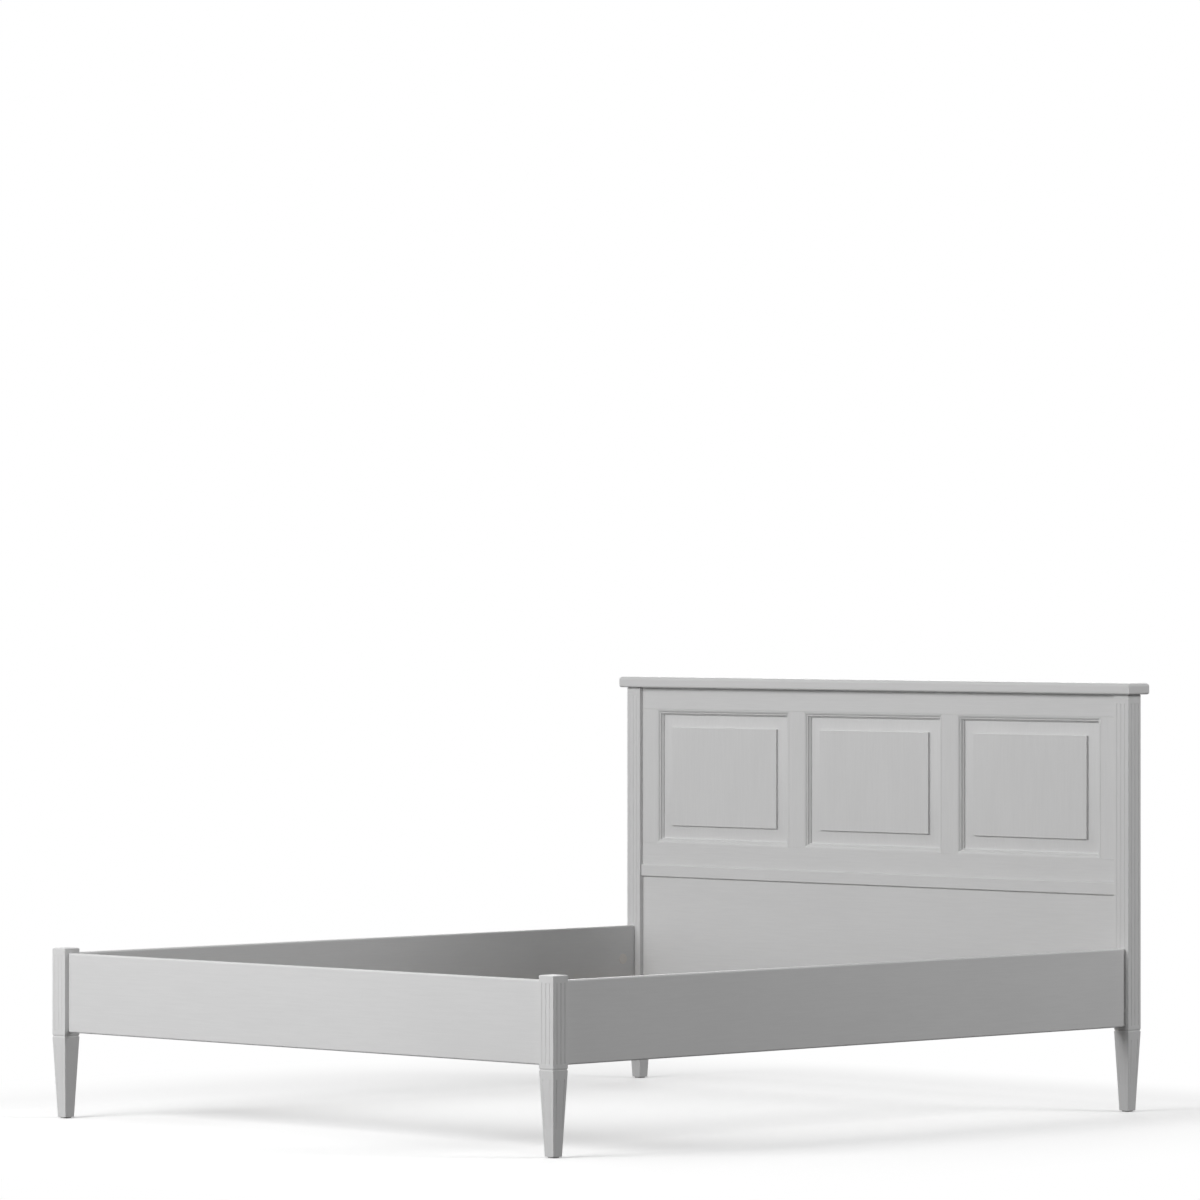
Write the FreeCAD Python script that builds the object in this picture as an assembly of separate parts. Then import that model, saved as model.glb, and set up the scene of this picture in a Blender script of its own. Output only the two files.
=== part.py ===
import FreeCAD, Part
import math
import os

# Panel bed, in millimetres.
# X runs across the bed, +Y from the foot to the head, +Z up.
# The origin is on the floor, below the middle of the bed's outline.
# "Left" and "right" are seen from the foot, so left is -X.

# The mattress that the bed is made for
mattress_width = 1700.0
mattress_length = 2000.0
side_clearance = 8.0
end_clearance = 5.0

# Posts and their tapered legs
post_size = 48.0
post_arris = 1.0
foot_post_top = 423.0
post_top_chamfer = 2.0
leg_height = 203.2
leg_foot_size = 29.0
neck_depth = 1.5
neck_floor_height = 1.6
neck_upper_height = 3.0
neck_lower_height = 0.6

# Flutes in the outer faces of the posts and legs
flute_radius = 2.0
flute_depth = 1.1
flute_pitch = 13.0
flute_bottom = 218.0
foot_flute_top = 404.0
head_flute_top = 1026.0
leg_flute_top = 181.0
leg_flute_bottom = 66.0
leg_flute_foot_depth = 0.7
leg_middle_flute_depth = 0.3

# Footboard and side rails: plain boards between the posts
board_thickness = 18.0
board_height = 197.0
board_bottom = 214.0
board_inset = 10.5
board_round = 4.0

# Ledgers that carry the slatted base
ledger_width = 20.0
ledger_height = 35.0
ledger_bottom = 218.0
ledger_end_gap = 3.0
ledger_screw_count = 7

# Headboard: cap, frame, panels, mouldings, ledge and lower panel
cap_bottom = 1049.5
cap_thickness = 28.5
cap_overhang = 15.0
cap_top_round = 8.0
cap_bottom_round = 5.0
panelling_recess = 10.0
frame_thickness = 26.0
frame_rail_width = 57.5
frame_stile_width = 53.0
frame_top_chamfer = 3.0
frame_joint_chamfer = 0.5
opening_height = 359.0
opening_count = 3
groove_depth = 9.0
groove_clearance = 0.1
tongue_thickness = 6.0
tongue_length = 8.5
panel_tongue_length = 7.0
panel_tongue_depth = 16.0
field_depth = 5.1
field_step = 6.5
field_margin_side = 51.5
field_margin_end = 48.5
moulding_width = 14.5
moulding_cove_depth = 11.6
ledge_height = 32.0
ledge_projection = 5.0
ledge_round = 2.5
ledge_tongue_height = 8.0
ledge_tongue_length = 5.0
lower_panel_recess = 2.0
lower_panel_thickness = 18.0
lower_tongue_inset = 6.0

# Fastener at each end of the three boards
joint_height = 322.0
cam_distance = 45.0
cam_radius = 12.4
cam_height = 13.6
cam_pocket_radius = 12.5
cam_pocket_depth = 14.0
cam_bore_radius = 4.2
cam_socket_radius = 3.4
cam_socket_depth = 3.5
cover_radius = 14.0
cover_thickness = 1.4
cover_round = 0.7
cover_dimple_radius = 6.0
cover_dimple_depth = 0.5
cover_spigot_radius = 2.6
cover_spigot_length = 3.0
bolt_shank_radius = 3.5
bolt_hole_radius = 4.0
bolt_thread_radius = 2.95
bolt_thread_length = 11.0
bolt_head_radius = 3.9
bolt_head_length = 4.0
sleeve_radius = 5.0
sleeve_bore_radius = 3.0
sleeve_length = 14.0
sleeve_hole_depth = 14.5
dowel_radius = 4.0
dowel_length = 30.0
dowel_chamfer = 1.0
dowel_offset = 64.0
dowel_hole_extra = 1.0

# Dowels and screws elsewhere
cap_dowel_radius = 5.0
cap_dowel_length = 40.0
cap_dowel_in_cap = 18.0
cap_dowel_pitch = 300.0
cap_dowel_places = (-2, -1, 0, 1, 2)
screw_radius = 2.0
screw_length = 34.0
screw_head_radius = 4.0
screw_head_height = 2.4
fit_clearance = 0.05

# Glides under the legs
glide_radius = 13.5
glide_thickness = 3.0
glide_round = 0.8
glide_pin_radius = 2.0
glide_pin_length = 14.0
glide_pin_hole_extra = 1.0

# Places worked out from the sizes above
half_post = post_size / 2
board_inner = board_inset + board_thickness
bed_width = mattress_width + 2 * (side_clearance + board_inner)
bed_length = board_inner + mattress_length + 2 * end_clearance + post_size - panelling_recess
outline_length = bed_length + cap_overhang
foot_front_y = -outline_length / 2
foot_back_y = foot_front_y + post_size
head_back_y = foot_front_y + bed_length
head_front_y = head_back_y - post_size
panelling_y = head_front_y + panelling_recess
outer_x = bed_width / 2
post_inner_x = outer_x - post_size
board_centre = board_inset + board_thickness / 2
post_centre_x = outer_x - half_post
foot_centre_y = foot_front_y + half_post
head_centre_y = head_back_y - half_post
board_top = board_bottom + board_height
top_rail_bottom = cap_bottom - frame_rail_width
bottom_rail_top = top_rail_bottom - opening_height
bottom_rail_bottom = bottom_rail_top - frame_rail_width
opening_width = (2 * post_inner_x - (opening_count + 1) * frame_stile_width) / opening_count
opening_pitch = opening_width + frame_stile_width

X = FreeCAD.Vector(1, 0, 0)
Y = FreeCAD.Vector(0, 1, 0)
Z = FreeCAD.Vector(0, 0, 1)


def point(x, y, z):
    return FreeCAD.Vector(x, y, z)


def box(x0, x1, y0, y1, z0, z1):
    return Part.makeBox(x1 - x0, y1 - y0, z1 - z0, point(x0, y0, z0))


def rod(radius, length, base, direction):
    return Part.makeCylinder(radius, length, base, direction)


def cut_all(shape, cutters):
    return shape.cut(cutters) if cutters else shape


def mirrored(shape):
    return shape.mirror(point(0, 0, 0), X)


def turned_solid(outline, base, direction):
    """A solid turned about the line from base along direction; the outline is (radius, distance) pairs."""
    points = [point(radius, 0, distance) for radius, distance in outline]
    face = Part.Face(Part.makePolygon(points + points[:1]))
    solid = face.revolve(point(0, 0, 0), Z, 360)
    solid.Placement = FreeCAD.Placement(base, FreeCAD.Rotation(Z, direction))
    return solid


def save(node, solids):
    shape = solids[0] if len(solids) == 1 else Part.makeCompound(solids)
    if not shape.isValid():
        raise ValueError(node + " is not a valid shape")
    shape.exportStep("parts/" + node + ".step")


# Posts


def rounded_square(centre_x, centre_y, half, z):
    """A square wire with small round corners, half its width from the centre to a side."""
    flat = half - post_arris
    bulge = flat + post_arris * math.sqrt(0.5)
    edges = []
    for side_x, side_y in ((1, -1), (1, 1), (-1, 1), (-1, -1)):
        corner = [(side_x * flat, side_y * half), (side_x * bulge, side_y * bulge), (side_x * half, side_y * flat)]
        if side_x != side_y:
            first, middle, last = corner
        else:
            last, middle, first = corner
        arc = [point(centre_x + px, centre_y + py, z) for px, py in (first, middle, last)]
        if edges:
            edges.append(Part.makeLine(edges[-1].lastVertex().Point, arc[0]))
        edges.append(Part.Arc(*arc).toShape())
    edges.append(Part.makeLine(edges[-1].lastVertex().Point, edges[0].firstVertex().Point))
    return Part.Wire(Part.__sortEdges__(edges))


def post_blank(centre_x, centre_y, top):
    """The square post, its neck groove and its leg, which tapers on all four sides."""
    levels = [
        (glide_thickness, leg_foot_size / 2),
        (leg_height - neck_lower_height, half_post),
        (leg_height, half_post - neck_depth),
        (leg_height + neck_floor_height, half_post - neck_depth),
        (leg_height + neck_floor_height + neck_upper_height, half_post),
        (top - post_top_chamfer, half_post),
        (top, half_post - post_top_chamfer),
    ]
    wires = [rounded_square(centre_x, centre_y, half, z) for z, half in levels]
    return Part.makeLoft(wires, True, True)


def leg_half_width(z):
    taper = (half_post - leg_foot_size / 2) / (leg_height - neck_lower_height - glide_thickness)
    return leg_foot_size / 2 + taper * (z - glide_thickness)


def flute(start, end):
    """A round-ended cutter of the flute's radius between two points."""
    along = end.sub(start)
    length = along.Length
    low = point(0, 0, -flute_radius)
    high = point(0, 0, length + flute_radius)
    side = flute_radius * math.sqrt(0.5)
    edges = [
        Part.makeLine(low, high),
        Part.Arc(high, point(side, 0, length + side), point(flute_radius, 0, length)).toShape(),
        Part.makeLine(point(flute_radius, 0, length), point(flute_radius, 0, 0)),
        Part.Arc(point(flute_radius, 0, 0), point(side, 0, -side), low).toShape(),
    ]
    cutter = Part.Face(Part.Wire(Part.__sortEdges__(edges))).revolve(point(0, 0, 0), Z, 360)
    cutter.Placement = FreeCAD.Placement(start, FreeCAD.Rotation(Z, along))
    return cutter


def face_flutes(centre_x, centre_y, outward, across, top):
    """Three flutes up one face of the post, and three down the leg that stop short of the floor."""
    centre = point(centre_x, centre_y, 0)

    def cutter(place, half_low, half_high, off_low, off_high, low, high):
        start = centre + outward * (half_low + off_low) + across * (place * half_low / half_post) + Z * low
        end = centre + outward * (half_high + off_high) + across * (place * half_high / half_post) + Z * high
        return flute(start, end)

    full_off = flute_radius - flute_depth
    middle_off = flute_radius - leg_middle_flute_depth
    foot_off = flute_radius - leg_flute_foot_depth
    low_half = leg_half_width(leg_flute_bottom)
    high_half = leg_half_width(leg_flute_top)
    cutters = []
    for step in (-1, 0, 1):
        place = step * flute_pitch
        low_off = foot_off if step else middle_off
        high_off = full_off if step else middle_off
        cutters.append(cutter(place, half_post, half_post, full_off, full_off, flute_bottom, top))
        cutters.append(cutter(place, low_half, high_half, low_off, high_off, leg_flute_bottom, leg_flute_top))
    return cutters


def post(centre_x, centre_y, top, flute_top, holes):
    """A right-hand post with flutes in its front and outer faces."""
    cutters = face_flutes(centre_x, centre_y, -Y, X, flute_top)
    cutters += face_flutes(centre_x, centre_y, X, Y, flute_top)
    pin_hole = glide_pin_length + glide_pin_hole_extra
    cutters.append(rod(glide_pin_radius + fit_clearance, pin_hole, point(centre_x, centre_y, glide_thickness), Z))
    return cut_all(post_blank(centre_x, centre_y, top), cutters + holes)


# Fasteners


def dowel(radius, length, middle, direction):
    half = length / 2
    inner = radius - dowel_chamfer
    outline = [(0, -half), (inner, -half), (radius, dowel_chamfer - half), (radius, half - dowel_chamfer)]
    outline += [(inner, half), (0, half)]
    return turned_solid(outline, middle, direction)


def dowel_hole(radius, length, middle, direction):
    reach = length + 2 * dowel_hole_extra
    return rod(radius + fit_clearance, reach, middle - direction * (reach / 2), direction)


def hexagon_prism(radius, depth, base, first, second, direction):
    corners = []
    for side in range(7):
        angle = math.radians(60 * side)
        corners.append(base + first * (radius * math.cos(angle)) + second * (radius * math.sin(angle)))
    return Part.Face(Part.makePolygon(corners)).extrude(direction * depth)


class BoardEnd:
    """The fastener between a board's end and a post: cam, bolt, sleeve and two dowels.

    origin is on the post's face, in the middle of the board's thickness, at the bolt's height;
    along points into the board, and inward to the board's inner face.
    """

    def __init__(self, origin, along, inward):
        self.origin = origin
        self.along = along
        self.inward = inward
        self.inner_face = origin + inward * (board_thickness / 2)

    def dowel_middles(self):
        return [self.origin + Z * dowel_offset, self.origin - Z * dowel_offset]

    def dowels(self):
        return [dowel(dowel_radius, dowel_length, middle, self.along) for middle in self.dowel_middles()]

    def dowel_holes(self):
        return [dowel_hole(dowel_radius, dowel_length, middle, self.along) for middle in self.dowel_middles()]

    def sleeve(self):
        outer = rod(sleeve_radius, sleeve_length, self.origin, -self.along)
        return outer.cut(rod(sleeve_bore_radius, sleeve_length, self.origin, -self.along))

    def bolt(self):
        tip = -bolt_thread_length
        neck = cam_distance - bolt_head_length
        outline = [(0, tip), (bolt_thread_radius, tip), (bolt_thread_radius, 0), (bolt_shank_radius, 0)]
        outline += [(bolt_shank_radius, neck), (bolt_head_radius, neck)]
        outline += [(bolt_head_radius, cam_distance), (0, cam_distance)]
        return turned_solid(outline, self.origin, self.along)

    def cam(self):
        face = self.inner_face + self.along * cam_distance - self.inward * (cam_pocket_depth - cam_height)
        body = rod(cam_radius, cam_height, face, -self.inward)
        bore_start = self.origin + self.along * (cam_distance - cam_pocket_radius)
        bore = rod(cam_bore_radius, cam_pocket_radius + bolt_head_length, bore_start, self.along)
        socket = hexagon_prism(cam_socket_radius, cam_socket_depth, face, self.along, Z, -self.inward)
        return body.cut([bore, socket])

    def cover(self):
        middle = self.inner_face + self.along * cam_distance
        soft = cover_radius - cover_round
        rise = cover_thickness - cover_round
        outline = [(0, -cover_spigot_length), (cover_spigot_radius, -cover_spigot_length)]
        outline += [(cover_spigot_radius, 0), (cover_radius, 0), (cover_radius, rise), (soft, cover_thickness)]
        outline += [(cover_dimple_radius, cover_thickness)]
        outline += [(cover_dimple_radius - cover_dimple_depth, cover_thickness - cover_dimple_depth)]
        outline += [(0, cover_thickness - cover_dimple_depth)]
        return turned_solid(outline, middle, self.inward)

    def board_holes(self):
        middle = self.inner_face + self.along * cam_distance
        pocket = rod(cam_pocket_radius, cam_pocket_depth, middle, -self.inward)
        bolt_hole = rod(bolt_hole_radius, cam_distance, self.origin, self.along)
        return [pocket, bolt_hole] + self.dowel_holes()

    def post_holes(self):
        sleeve_hole = rod(sleeve_radius + fit_clearance, sleeve_hole_depth, self.origin, -self.along)
        return [sleeve_hole] + self.dowel_holes()


# The board ends of the bed's right half; the left half is their mirror image
footboard_end = BoardEnd(point(post_inner_x, foot_front_y + board_centre, joint_height), -X, Y)
rail_foot_end = BoardEnd(point(outer_x - board_centre, foot_back_y, joint_height), Y, -X)
rail_head_end = BoardEnd(point(outer_x - board_centre, head_front_y, joint_height), -Y, -X)
board_ends = [footboard_end, rail_foot_end, rail_head_end]


def both_sides(solids):
    return solids + [mirrored(solid) for solid in solids]


# Boards and ledgers


def rounded_board(x0, x1, y0, y1):
    board = box(x0, x1, y0, y1, board_bottom, board_top)
    return board.makeFillet(board_round, board.Edges)


def ledger_screw_origins():
    span = head_front_y - foot_back_y
    pitch = span / ledger_screw_count
    height = ledger_bottom + ledger_height / 2
    face_x = outer_x - board_inner - ledger_width
    return [point(face_x, foot_back_y + pitch * (place + 0.5), height) for place in range(ledger_screw_count)]


def screw(origin):
    outline = [(0, 0), (screw_head_radius, 0), (screw_radius, screw_head_height)]
    outline += [(screw_radius, screw_length - screw_radius), (0, screw_length)]
    return turned_solid(outline, origin, X)


def screw_hole(origin):
    grown = screw_radius + fit_clearance
    head = screw_head_radius + fit_clearance
    outline = [(0, -1), (head, -1), (head, 0), (grown, screw_head_height), (grown, screw_length + 1)]
    outline += [(0, screw_length + 1)]
    return turned_solid(outline, origin, X)


def make_boards():
    footboard = rounded_board(-post_inner_x, post_inner_x, foot_front_y + board_inset, foot_front_y + board_inner)
    footboard = footboard.cut(both_sides(footboard_end.board_holes()))
    save("footboard", [footboard])

    screw_holes = [screw_hole(origin) for origin in ledger_screw_origins()]
    rail = rounded_board(outer_x - board_inner, outer_x - board_inset, foot_back_y, head_front_y)
    rail = rail.cut(rail_foot_end.board_holes() + rail_head_end.board_holes() + screw_holes)
    save("side_rail_right", [rail])
    save("side_rail_left", [mirrored(rail)])

    ledger_x = outer_x - board_inner
    ledger_y0 = foot_back_y + ledger_end_gap
    ledger_y1 = head_front_y - ledger_end_gap
    ledger_top = ledger_bottom + ledger_height
    ledger = box(ledger_x - ledger_width, ledger_x, ledger_y0, ledger_y1, ledger_bottom, ledger_top)
    ledger = ledger.makeChamfer(1.0, [edge for edge in ledger.Edges if edge.Length > ledger_height + 1])
    ledger = ledger.cut(screw_holes)
    save("ledger_right", [ledger])
    save("ledger_left", [mirrored(ledger)])

    screws = [screw(origin) for origin in ledger_screw_origins()]
    save("ledger_screws_right", screws)
    save("ledger_screws_left", [mirrored(solid) for solid in screws])


def make_fasteners():
    save("cam_housings", both_sides([end.cam() for end in board_ends]))
    save("cam_covers", both_sides([end.cover() for end in board_ends]))
    save("connecting_bolts", both_sides([end.bolt() for end in board_ends]))
    save("threaded_sleeves", both_sides([end.sleeve() for end in board_ends]))
    dowels = [solid for end in board_ends for solid in end.dowels()]
    save("rail_dowels", both_sides(dowels))


# Headboard


def headboard_dowel_middles():
    """Where dowels join the framed part and the lower panel to the right head post."""
    frame_y = panelling_y + frame_thickness / 2
    lower_y = panelling_y + lower_panel_recess + lower_panel_thickness / 2
    quarter = frame_rail_width / 4
    middles = []
    for rail_bottom in (top_rail_bottom, bottom_rail_bottom):
        for height in (rail_bottom + quarter, rail_bottom + 3 * quarter):
            middles.append(point(post_inner_x, frame_y, height))
    for share in (0.3, 0.7):
        middles.append(point(post_inner_x, frame_y, bottom_rail_top + share * opening_height))
    for share in (0.15, 0.5, 0.85):
        height = board_bottom + share * (bottom_rail_bottom - board_bottom)
        middles.append(point(post_inner_x, lower_y, height))
    return middles


def headboard_dowel_holes():
    return [dowel_hole(dowel_radius, dowel_length, middle, X) for middle in headboard_dowel_middles()]


def cap_dowel_middles():
    height = cap_bottom + cap_dowel_in_cap - cap_dowel_length / 2
    frame_y = panelling_y + frame_thickness / 2
    rail_places = [point(place * cap_dowel_pitch, frame_y, height) for place in cap_dowel_places]
    post_places = [point(side * post_centre_x, head_centre_y, height) for side in (-1, 1)]
    return rail_places + post_places


def cap_dowel_holes():
    return [dowel_hole(cap_dowel_radius, cap_dowel_length, middle, Z) for middle in cap_dowel_middles()]


def make_posts():
    foot_holes = footboard_end.post_holes() + rail_foot_end.post_holes()
    foot_post = post(post_centre_x, foot_centre_y, foot_post_top, foot_flute_top, foot_holes)
    save("foot_post_right", [foot_post])
    save("foot_post_left", [mirrored(foot_post)])

    head_holes = rail_head_end.post_holes() + headboard_dowel_holes() + cap_dowel_holes()
    head_post = post(post_centre_x, head_centre_y, cap_bottom, head_flute_top, head_holes)
    save("head_post_right", [head_post])
    save("head_post_left", [mirrored(head_post)])

    for side, name in ((1, "right"), (-1, "left")):
        for centre_y, end in ((foot_centre_y, "foot"), (head_centre_y, "head")):
            save("glide_" + end + "_" + name, [glide(side * post_centre_x, centre_y)])


def glide(centre_x, centre_y):
    top = glide_thickness + glide_pin_length
    outline = [(0, 0), (glide_radius - glide_round, 0), (glide_radius, glide_round)]
    outline += [(glide_radius, glide_thickness), (glide_pin_radius, glide_thickness)]
    outline += [(glide_pin_radius, top - glide_pin_radius), (0, top)]
    return turned_solid(outline, point(centre_x, centre_y, 0), Z)


def make_cap():
    front = head_front_y - cap_overhang
    back = head_back_y + cap_overhang
    end_x = outer_x + cap_overhang
    cap = box(-end_x, end_x, front, back, cap_bottom, cap_bottom + cap_thickness)
    top_edges = [edge for edge in cap.Edges if min(v.Z for v in edge.Vertexes) > cap_bottom + 1]
    cap = cap.makeFillet(cap_top_round, top_edges)
    bottom_edges = [edge for edge in cap.Edges if max(v.Z for v in edge.Vertexes) < cap_bottom + 1]
    cap = cap.makeFillet(cap_bottom_round, bottom_edges)
    save("cap_rail", [cap.cut(cap_dowel_holes())])
    save("cap_dowels", [dowel(cap_dowel_radius, cap_dowel_length, middle, Z) for middle in cap_dowel_middles()])


def groove(x0, x1, z0, z1, depth):
    """The space of a groove whose front wall is depth behind the panelling's face."""
    front = panelling_y + depth - groove_clearance
    back = panelling_y + depth + tongue_thickness + groove_clearance
    return box(x0, x1, front, back, z0, z1)


def tongue(x0, x1, z0, z1, depth):
    front = panelling_y + depth
    return box(x0, x1, front, front + tongue_thickness, z0, z1)


def frame_member(x0, x1, z0, z1):
    return box(x0, x1, panelling_y, panelling_y + frame_thickness, z0, z1)


def front_edges(shape, is_wanted):
    """Edges that lie in the panelling's face and that is_wanted picks by their vertices."""
    chosen = []
    for edge in shape.Edges:
        in_face = all(abs(v.Y - panelling_y) < 0.01 for v in edge.Vertexes)
        if in_face and is_wanted(edge.Vertexes):
            chosen.append(edge)
    return chosen


def make_headboard_rails():
    length = post_inner_x
    holes = both_sides(headboard_dowel_holes())
    top_rail = frame_member(-length, length, top_rail_bottom, cap_bottom)
    top_edge = front_edges(top_rail, lambda ends: all(v.Z > cap_bottom - 0.01 for v in ends))
    top_rail = top_rail.makeChamfer(frame_top_chamfer, top_edge)
    top_groove = groove(-length, length, top_rail_bottom, top_rail_bottom + groove_depth, panel_tongue_depth)
    save("headboard_top_rail", [top_rail.cut([top_groove] + holes + cap_dowel_holes())])

    bottom_rail = frame_member(-length, length, bottom_rail_bottom, bottom_rail_top)
    upper_groove = groove(-length, length, bottom_rail_top - groove_depth, bottom_rail_top, panel_tongue_depth)
    lower_depth = lower_panel_recess + lower_tongue_inset
    lower_groove = groove(-length, length, bottom_rail_bottom, bottom_rail_bottom + groove_depth, lower_depth)
    save("headboard_bottom_rail", [bottom_rail.cut([upper_groove, lower_groove] + holes)])


def upright(x0, x1, groove_sides):
    """A stile or muntin, with a stub tenon at each end and a groove in each side that holds a panel."""
    body = frame_member(x0, x1, bottom_rail_top, top_rail_bottom)
    joint_edges = front_edges(body, lambda ends: abs(ends[0].Z - ends[1].Z) < 0.01)
    body = body.makeChamfer(frame_joint_chamfer, joint_edges)
    tenon = tongue(x0, x1, bottom_rail_top - tongue_length, top_rail_bottom + tongue_length, panel_tongue_depth)
    body = body.fuse(tenon).removeSplitter()
    low = bottom_rail_top - groove_depth
    high = top_rail_bottom + groove_depth
    for side_x, direction in groove_sides:
        ends = sorted((side_x, side_x - direction * groove_depth))
        body = body.cut(groove(ends[0], ends[1], low, high, panel_tongue_depth))
    return body


def make_uprights():
    stile_x = post_inner_x - frame_stile_width
    stile = upright(stile_x, post_inner_x, [(stile_x, -1)])
    stile = stile.cut(headboard_dowel_holes())
    save("stile_right", [stile])
    save("stile_left", [mirrored(stile)])

    muntin_x0 = opening_pitch / 2 - frame_stile_width / 2
    muntin_x1 = muntin_x0 + frame_stile_width
    muntin = upright(muntin_x0, muntin_x1, [(muntin_x0, -1), (muntin_x1, 1)])
    save("muntin_right", [muntin])
    save("muntin_left", [mirrored(muntin)])


def rectangle(centre_x, margin_side, margin_end, depth):
    """A wire round an opening, inset from its edges, at a depth behind the panelling's face."""
    half = opening_width / 2 - margin_side
    low = bottom_rail_top + margin_end
    high = top_rail_bottom - margin_end
    y = panelling_y + depth
    corners = [(-half, low), (half, low), (half, high), (-half, high), (-half, low)]
    return Part.makePolygon([point(centre_x + x, y, z) for x, z in corners])


def raised_panel(centre_x):
    """A panel whose edges fit the grooves, with a bevel and a step up to its flat field."""
    step_foot = field_depth + field_step
    tongue_back = panel_tongue_depth + tongue_thickness
    edge = Part.Face(rectangle(centre_x, -panel_tongue_length, -panel_tongue_length, panel_tongue_depth))
    slab = edge.extrude(Y * tongue_thickness)
    wide = rectangle(centre_x, moulding_width, moulding_width, panel_tongue_depth)
    narrow = rectangle(centre_x, field_margin_side, field_margin_end, step_foot)
    bevel = Part.makeLoft([wide, narrow], True, True)
    field_face = Part.Face(rectangle(centre_x, field_margin_side, field_margin_end, field_depth))
    field = field_face.extrude(Y * (tongue_back - field_depth))
    return slab.fuse([bevel, field]).removeSplitter()


def moulding_section(origin, inward):
    """The moulding's section, from the frame's edge inward: an ovolo, a fillet and a cove."""

    def at(distance, depth):
        return origin + inward * distance + Y * depth

    back = panel_tongue_depth
    cove = moulding_cove_depth
    edge = moulding_width
    edges = [
        Part.makeLine(at(0, 0), at(1.0, 0)),
        Part.Arc(at(1.0, 0), at(5.8, 1.6), at(8.4, 5.0)).toShape(),
        Part.makeLine(at(8.4, 5.0), at(11.0, 5.0)),
        Part.Arc(at(11.0, 5.0), at(11.9, 9.4), at(edge - 0.6, cove)).toShape(),
        Part.makeLine(at(edge - 0.6, cove), at(edge, cove)),
        Part.makeLine(at(edge, cove), at(edge, back)),
        Part.makeLine(at(edge, back), at(0, back)),
        Part.makeLine(at(0, back), at(0, 0)),
    ]
    return Part.Face(Part.Wire(edges))


def mitred(corner_a, corner_b, inward):
    """One moulding strip from corner to corner of an opening, mitred at both ends."""
    along = corner_b.sub(corner_a)
    length = along.Length
    along.normalize()
    strip = moulding_section(corner_a, inward).extrude(along * length)
    reach = moulding_width + 1
    plan = [corner_a, corner_b, corner_b + (inward - along) * reach, corner_a + (inward + along) * reach, corner_a]
    plan = [corner - Y for corner in plan]
    keep = Part.Face(Part.makePolygon(plan)).extrude(Y * (panel_tongue_depth + 2))
    return strip.common(keep)


def make_panels():
    for name, place in (("left", -1), ("centre", 0), ("right", 1)):
        centre_x = place * opening_pitch
        save("panel_" + name, [raised_panel(centre_x)])
        left = centre_x - opening_width / 2
        right = centre_x + opening_width / 2
        bottom_left = point(left, panelling_y, bottom_rail_top)
        bottom_right = point(right, panelling_y, bottom_rail_top)
        top_left = point(left, panelling_y, top_rail_bottom)
        top_right = point(right, panelling_y, top_rail_bottom)
        strips = {
            "top": mitred(top_left, top_right, -Z),
            "bottom": mitred(bottom_left, bottom_right, Z),
            "left": mitred(bottom_left, top_left, X),
            "right": mitred(bottom_right, top_right, -X),
        }
        for side, strip in strips.items():
            save("moulding_" + name + "_" + side, [strip])


def make_lower_part():
    length = post_inner_x
    front = panelling_y + lower_panel_recess
    back = front + lower_panel_thickness
    panel = box(-length, length, front, back, board_bottom, bottom_rail_bottom)
    edge = tongue(-length, length, bottom_rail_bottom, bottom_rail_bottom + tongue_length - 0.5,
                  lower_panel_recess + lower_tongue_inset)
    ledge_bottom = bottom_rail_bottom - ledge_height
    ledge_middle = ledge_bottom + ledge_height / 2
    slot_half = ledge_tongue_height / 2
    slot = box(-length, length, front, front + ledge_tongue_length + groove_clearance,
               ledge_middle - slot_half - groove_clearance, ledge_middle + slot_half + groove_clearance)
    panel = panel.fuse(edge).removeSplitter()
    save("lower_panel", [panel.cut([slot] + both_sides(headboard_dowel_holes()))])

    ledge_front = panelling_y - ledge_projection
    ledge = box(-length, length, ledge_front, front, ledge_bottom, bottom_rail_bottom)
    face_edges = [e for e in ledge.Edges if all(abs(v.Y - ledge_front) < 0.01 for v in e.Vertexes)]
    ledge = ledge.makeFillet(ledge_round, face_edges)
    ledge_tongue = box(-length, length, front - 1, front + ledge_tongue_length,
                       ledge_middle - slot_half, ledge_middle + slot_half)
    save("ledge_strip", [ledge.fuse(ledge_tongue).removeSplitter()])


def make_headboard_dowels():
    middles = headboard_dowel_middles()
    dowels = [dowel(dowel_radius, dowel_length, middle, X) for middle in middles]
    save("headboard_dowels", both_sides(dowels))


os.makedirs("parts", exist_ok=True)
make_posts()
make_boards()
make_fasteners()
make_cap()
make_headboard_rails()
make_uprights()
make_panels()
make_lower_part()
make_headboard_dowels()
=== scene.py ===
import math

import bmesh
import bpy
import numpy as np
from mathutils import Matrix, Vector


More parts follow.
